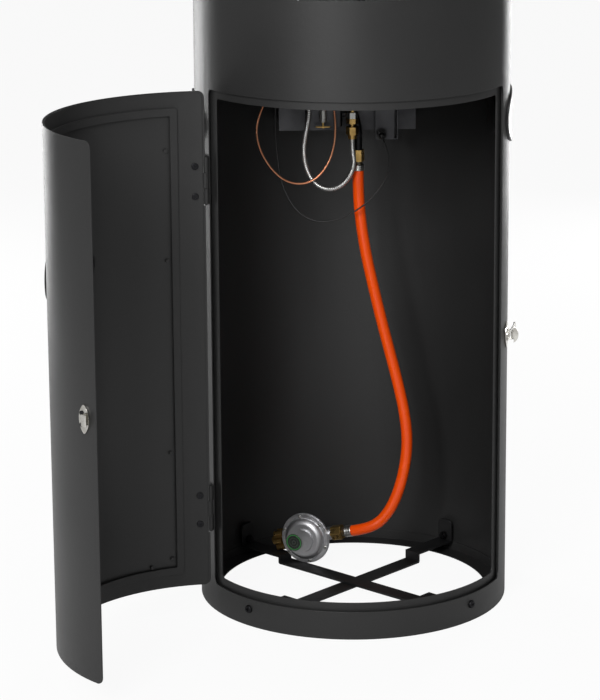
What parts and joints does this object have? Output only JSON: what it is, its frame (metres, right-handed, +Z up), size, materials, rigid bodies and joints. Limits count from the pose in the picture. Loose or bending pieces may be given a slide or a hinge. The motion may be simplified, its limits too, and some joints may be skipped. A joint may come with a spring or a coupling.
{
  "type": "outdoor gas heater",
  "caption": "Free-standing outdoor gas heater: round black bottle cabinet with hinged door, hose and regulator inside, glass-tube burner and rain cap above.",
  "frame": {"origin": "on the floor at the centre of the round cabinet", "axes": "+Z up; -Y towards the door opening; +Y towards the control knob; +X to the right seen from the door side"},
  "size_m": [0.6226, 0.6905, 1.5371],
  "materials": {
    "powder_coat_black": "fine satin powder coat",
    "black_steel": "black oxide",
    "nickel_plate": "bright nickel plate",
    "zinc_plate": "zinc plate",
    "black_plastic": "fine grain moulding",
    "die_cast": "sand-blasted die casting",
    "brass": "turned",
    "copper": "drawn copper",
    "hose_rubber": "satin",
    "black_rubber": "matt",
    "braid_steel": "stripwound",
    "label_ink": "printed",
    "glass_clear": "clear borosilicate",
    "stainless": "satin",
    "ceramic": "glazed ceramic"
  },
  "bodies": {
    "cabinet": {"base_ring": "powder_coat_black", "burner_cup": "stainless", "burner_flex_tube": "braid_steel", "burner_head": "stainless", "burner_pipe": "zinc_plate", "burner_probes": "ceramic", "cabinet_hinge_leaves": "powder_coat_black", "cabinet_screws": "black_steel", "control_box": "powder_coat_black", "control_panel": "black_plastic", "flex_fittings": "brass", "gas_hose": "hose_rubber", "glass_collars": "powder_coat_black", "glass_guard": "powder_coat_black", "glass_tube": "glass_clear", "guard_posts": "powder_coat_black", "hinge_pins": "zinc_plate", "hose_ferrules": "zinc_plate", "hose_nuts": "brass", "igniter_bracket": "powder_coat_black", "ignition_lead": "black_rubber", "inlet_elbow": "black_steel", "latch_base": "nickel_plate", "lower_support_bar": "powder_coat_black", "opening_frame": "powder_coat_black", "outer_shell": "powder_coat_black", "piezo_igniter": "black_plastic", "pipe_union": "zinc_plate", "post_nuts": "zinc_plate", "rain_cap": "powder_coat_black", "regulator_body": "die_cast", "regulator_bonnet": "die_cast", "regulator_inlet_stem": "brass", "regulator_label": "label_ink", "regulator_screws": "zinc_plate", "side_handles": "black_plastic", "support_fasteners": "black_steel", "thermocouple_tube": "copper", "top_plate": "powder_coat_black", "top_ring": "powder_coat_black", "upper_deck": "powder_coat_black", "upper_support_bar": "powder_coat_black", "valve_body": "black_steel", "valve_magnet_unit": "zinc_plate", "valve_test_nipple": "brass"},
    "door": {"door_skin": "powder_coat_black", "door_frame": "powder_coat_black", "door_handle": "black_plastic", "door_weld_studs": "powder_coat_black", "door_hinge_leaves": "powder_coat_black", "door_hinge_screws": "black_steel", "latch_keeper": "nickel_plate", "keeper_screws": "black_steel"},
    "latch_claw": {"latch_claw": "nickel_plate"},
    "latch_wing": {"latch_wing": "nickel_plate"},
    "control_knob": {"valve_spindle": "zinc_plate", "control_knob": "black_plastic"},
    "igniter_button": {"igniter_button": "black_plastic"},
    "regulator_hand_nut": {"regulator_hand_nut": "brass"}
  },
  "joints": [
    {"name": "door_hinge", "type": "hinge", "parent": "cabinet", "child": "door", "pos_m": [-0.19671, -0.08553, 0], "axis": [0, 0, -1], "range_deg": [-111, 35]},
    {"name": "latch_turn", "type": "hinge", "parent": "cabinet", "child": "latch_claw", "pos_m": [0.20439, -0.0563, 0.371], "axis": [0.9641, -0.2656, 0], "range_deg": [-180, 0]},
    {"name": "latch_wing_fold", "type": "hinge", "parent": "latch_claw", "child": "latch_wing", "pos_m": [0.21066, -0.05802, 0.371], "axis": [0, 0, 1], "range_deg": [0, 78]},
    {"name": "knob_turn", "type": "hinge", "parent": "cabinet", "child": "control_knob", "pos_m": [-0.035, 0.22, 0.69], "axis": [0, 1, 0], "range_deg": [-180, 0]},
    {"name": "igniter_press", "type": "slide", "parent": "cabinet", "child": "igniter_button", "axis": [0, -1, 0], "range_m": [0, 0.006], "stiffness_N_per_m": 600},
    {"name": "hand_nut_turn", "type": "hinge", "parent": "cabinet", "child": "regulator_hand_nut", "pos_m": [-0.09453, 0.10776, 0.03395], "axis": [-0.8567, 0.4555, -0.2419], "continuous": true}
  ]
}
